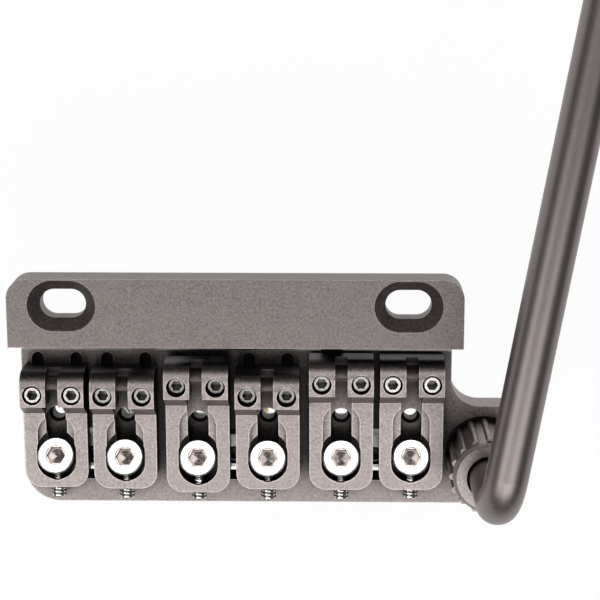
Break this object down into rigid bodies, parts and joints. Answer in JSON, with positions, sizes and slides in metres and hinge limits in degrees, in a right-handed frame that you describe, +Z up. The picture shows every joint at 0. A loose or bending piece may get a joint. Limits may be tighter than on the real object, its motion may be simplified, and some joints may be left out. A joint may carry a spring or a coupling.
{
  "type": "guitar tremolo bridge",
  "caption": "Guitar tremolo bridge: fixed plate with screw slots, rocking carriage on bearings, adjustable saddles, hold-down springs and a swinging arm.",
  "frame": {"origin": "midway between the two mounting slots, on the underside of the mounting plate", "axes": "+X across the strings towards the arm, +Y along the strings towards the neck, +Z up out of the guitar's top"},
  "size_m": [0.0934, 0.1182, 0.0615],
  "materials": {
    "blasted_plate": "bead-blasted satin",
    "blasted_carriage": "bead-blasted satin",
    "blasted_saddle": "bead-blasted satin",
    "grub_steel": "plain turned",
    "polished_screw": "polished",
    "set_screw_steel": "plain turned",
    "block_steel": "satin",
    "black_steel": "black oxide",
    "cup_brass": "turned",
    "spring_steel": "drawn wire",
    "frame_metal": "satin",
    "bearing_steel": "ground",
    "socket_steel": "turned",
    "bush_nylon": "plain nylon",
    "collar_metal": "bead-blasted satin",
    "arm_metal": "dark satin"
  },
  "bodies": {
    "base": {"mounting_plate": "blasted_plate", "bearing_outer_left": "bearing_steel", "bearing_outer_right": "bearing_steel", "spring_frame": "frame_metal", "frame_spacers": "frame_metal", "frame_screws": "black_steel", "hold_down_spring_1": "spring_steel", "hold_down_spring_2": "spring_steel", "hold_down_spring_3": "spring_steel"},
    "carriage": {"carriage": "blasted_carriage", "pivot_pin_left": "bearing_steel", "pivot_pin_right": "bearing_steel", "bearing_inner_left": "bearing_steel", "bearing_inner_right": "bearing_steel", "arm_socket": "socket_steel", "arm_bush": "bush_nylon"},
    "feet_1": {"height_screws_1": "grub_steel"},
    "saddle_1": {"saddle_1": "blasted_saddle"},
    "clamp_1": {"clamp_screw_1": "polished_screw"},
    "set_1": {"intonation_screw_1": "set_screw_steel"},
    "feet_2": {"height_screws_2": "grub_steel"},
    "saddle_2": {"saddle_2": "blasted_saddle"},
    "clamp_2": {"clamp_screw_2": "polished_screw"},
    "set_2": {"intonation_screw_2": "set_screw_steel"},
    "feet_3": {"height_screws_3": "grub_steel"},
    "saddle_3": {"saddle_3": "blasted_saddle"},
    "clamp_3": {"clamp_screw_3": "polished_screw"},
    "set_3": {"intonation_screw_3": "set_screw_steel"},
    "feet_4": {"height_screws_4": "grub_steel"},
    "saddle_4": {"saddle_4": "blasted_saddle"},
    "clamp_4": {"clamp_screw_4": "polished_screw"},
    "set_4": {"intonation_screw_4": "set_screw_steel"},
    "feet_5": {"height_screws_5": "grub_steel"},
    "saddle_5": {"saddle_5": "blasted_saddle"},
    "clamp_5": {"clamp_screw_5": "polished_screw"},
    "set_5": {"intonation_screw_5": "set_screw_steel"},
    "feet_6": {"height_screws_6": "grub_steel"},
    "saddle_6": {"saddle_6": "blasted_saddle"},
    "clamp_6": {"clamp_screw_6": "polished_screw"},
    "set_6": {"intonation_screw_6": "set_screw_steel"},
    "stud_1": {"tension_block_1": "block_steel", "tension_stud_1": "black_steel", "spring_cup_1": "cup_brass"},
    "stud_2": {"tension_block_2": "block_steel", "tension_stud_2": "black_steel", "spring_cup_2": "cup_brass"},
    "stud_3": {"tension_block_3": "block_steel", "tension_stud_3": "black_steel", "spring_cup_3": "cup_brass"},
    "collar": {"collar_nut": "collar_metal"},
    "arm": {"tremolo_arm": "arm_metal"}
  },
  "joints": [
    {"name": "rock", "type": "hinge", "parent": "base", "child": "carriage", "pos_m": [0, -0.0024, 0.0006], "axis": [1, 0, 0], "range_deg": [-13, 6], "stiffness_Nm_per_rad": 12, "deforming": ["hold_down_spring_1", "hold_down_spring_2", "hold_down_spring_3"]},
    {"name": "intonation_1", "type": "slide", "parent": "carriage", "child": "feet_1", "axis": [0, 1, 0], "range_m": [-0.0008, 0.0003]},
    {"name": "height_1", "type": "slide", "parent": "feet_1", "child": "saddle_1", "axis": [0, 0, 1], "range_m": [-0.00015, 0.0008]},
    {"name": "clamp_rise_1", "type": "slide", "parent": "carriage", "child": "clamp_1", "axis": [0, 0.4067, 0.9135], "range_m": [-0.00017, 0.00088]},
    {"name": "set_rise_1", "type": "slide", "parent": "carriage", "child": "set_1", "axis": [0, 0, 1], "range_m": [-0.00015, 0.0008]},
    {"name": "intonation_2", "type": "slide", "parent": "carriage", "child": "feet_2", "axis": [0, 1, 0], "range_m": [-0.0008, 0.0003]},
    {"name": "height_2", "type": "slide", "parent": "feet_2", "child": "saddle_2", "axis": [0, 0, 1], "range_m": [-0.00015, 0.0008]},
    {"name": "clamp_rise_2", "type": "slide", "parent": "carriage", "child": "clamp_2", "axis": [0, 0.4067, 0.9135], "range_m": [-0.00017, 0.00088]},
    {"name": "set_rise_2", "type": "slide", "parent": "carriage", "child": "set_2", "axis": [0, 0, 1], "range_m": [-0.00015, 0.0008]},
    {"name": "intonation_3", "type": "slide", "parent": "carriage", "child": "feet_3", "axis": [0, 1, 0], "range_m": [-0.0008, 0.0003]},
    {"name": "height_3", "type": "slide", "parent": "feet_3", "child": "saddle_3", "axis": [0, 0, 1], "range_m": [-0.00015, 0.0008]},
    {"name": "clamp_rise_3", "type": "slide", "parent": "carriage", "child": "clamp_3", "axis": [0, 0.4067, 0.9135], "range_m": [-0.00017, 0.00088]},
    {"name": "set_rise_3", "type": "slide", "parent": "carriage", "child": "set_3", "axis": [0, 0, 1], "range_m": [-0.00015, 0.0008]},
    {"name": "intonation_4", "type": "slide", "parent": "carriage", "child": "feet_4", "axis": [0, 1, 0], "range_m": [-0.0008, 0.0003]},
    {"name": "height_4", "type": "slide", "parent": "feet_4", "child": "saddle_4", "axis": [0, 0, 1], "range_m": [-0.00015, 0.0008]},
    {"name": "clamp_rise_4", "type": "slide", "parent": "carriage", "child": "clamp_4", "axis": [0, 0.4067, 0.9135], "range_m": [-0.00017, 0.00088]},
    {"name": "set_rise_4", "type": "slide", "parent": "carriage", "child": "set_4", "axis": [0, 0, 1], "range_m": [-0.00015, 0.0008]},
    {"name": "intonation_5", "type": "slide", "parent": "carriage", "child": "feet_5", "axis": [0, 1, 0], "range_m": [-0.0008, 0.0003]},
    {"name": "height_5", "type": "slide", "parent": "feet_5", "child": "saddle_5", "axis": [0, 0, 1], "range_m": [-0.00015, 0.0008]},
    {"name": "clamp_rise_5", "type": "slide", "parent": "carriage", "child": "clamp_5", "axis": [0, 0.4067, 0.9135], "range_m": [-0.00017, 0.00088]},
    {"name": "set_rise_5", "type": "slide", "parent": "carriage", "child": "set_5", "axis": [0, 0, 1], "range_m": [-0.00015, 0.0008]},
    {"name": "intonation_6", "type": "slide", "parent": "carriage", "child": "feet_6", "axis": [0, 1, 0], "range_m": [-0.0008, 0.0003]},
    {"name": "height_6", "type": "slide", "parent": "feet_6", "child": "saddle_6", "axis": [0, 0, 1], "range_m": [-0.00015, 0.0008]},
    {"name": "clamp_rise_6", "type": "slide", "parent": "carriage", "child": "clamp_6", "axis": [0, 0.4067, 0.9135], "range_m": [-0.00017, 0.00088]},
    {"name": "set_rise_6", "type": "slide", "parent": "carriage", "child": "set_6", "axis": [0, 0, 1], "range_m": [-0.00015, 0.0008]},
    {"name": "stud_slide_1", "type": "slide", "parent": "base", "child": "stud_1", "axis": [0, 0, 1], "range_m": [-0.0024, 0.0052]},
    {"name": "stud_slide_2", "type": "slide", "parent": "base", "child": "stud_2", "axis": [0, 0, 1], "range_m": [-0.0024, 0.0052]},
    {"name": "stud_slide_3", "type": "slide", "parent": "base", "child": "stud_3", "axis": [0, 0, 1], "range_m": [-0.0024, 0.0052]},
    {"name": "collar_turn", "type": "hinge", "parent": "carriage", "child": "collar", "pos_m": [0.0377, -0.02435, 0.005], "axis": [0, 0, 1], "continuous": true},
    {"name": "arm_swing", "type": "hinge", "parent": "carriage", "child": "arm", "pos_m": [0.0377, -0.02435, 0.005], "axis": [0, 0, 1], "continuous": true}
  ],
  "couplings": [
    {"joint": "clamp_rise_1", "follows": "height_1", "ratio": 1.0946},
    {"joint": "set_rise_1", "follows": "height_1", "ratio": 1},
    {"joint": "clamp_rise_2", "follows": "height_2", "ratio": 1.0946},
    {"joint": "set_rise_2", "follows": "height_2", "ratio": 1},
    {"joint": "clamp_rise_3", "follows": "height_3", "ratio": 1.0946},
    {"joint": "set_rise_3", "follows": "height_3", "ratio": 1},
    {"joint": "clamp_rise_4", "follows": "height_4", "ratio": 1.0946},
    {"joint": "set_rise_4", "follows": "height_4", "ratio": 1},
    {"joint": "clamp_rise_5", "follows": "height_5", "ratio": 1.0946},
    {"joint": "set_rise_5", "follows": "height_5", "ratio": 1},
    {"joint": "clamp_rise_6", "follows": "height_6", "ratio": 1.0946},
    {"joint": "set_rise_6", "follows": "height_6", "ratio": 1},
    {"joint": "stud_slide_1", "follows": "rock", "m_per_rad": -0.0225},
    {"joint": "stud_slide_2", "follows": "rock", "m_per_rad": -0.0225},
    {"joint": "stud_slide_3", "follows": "rock", "m_per_rad": -0.0225}
  ]
}
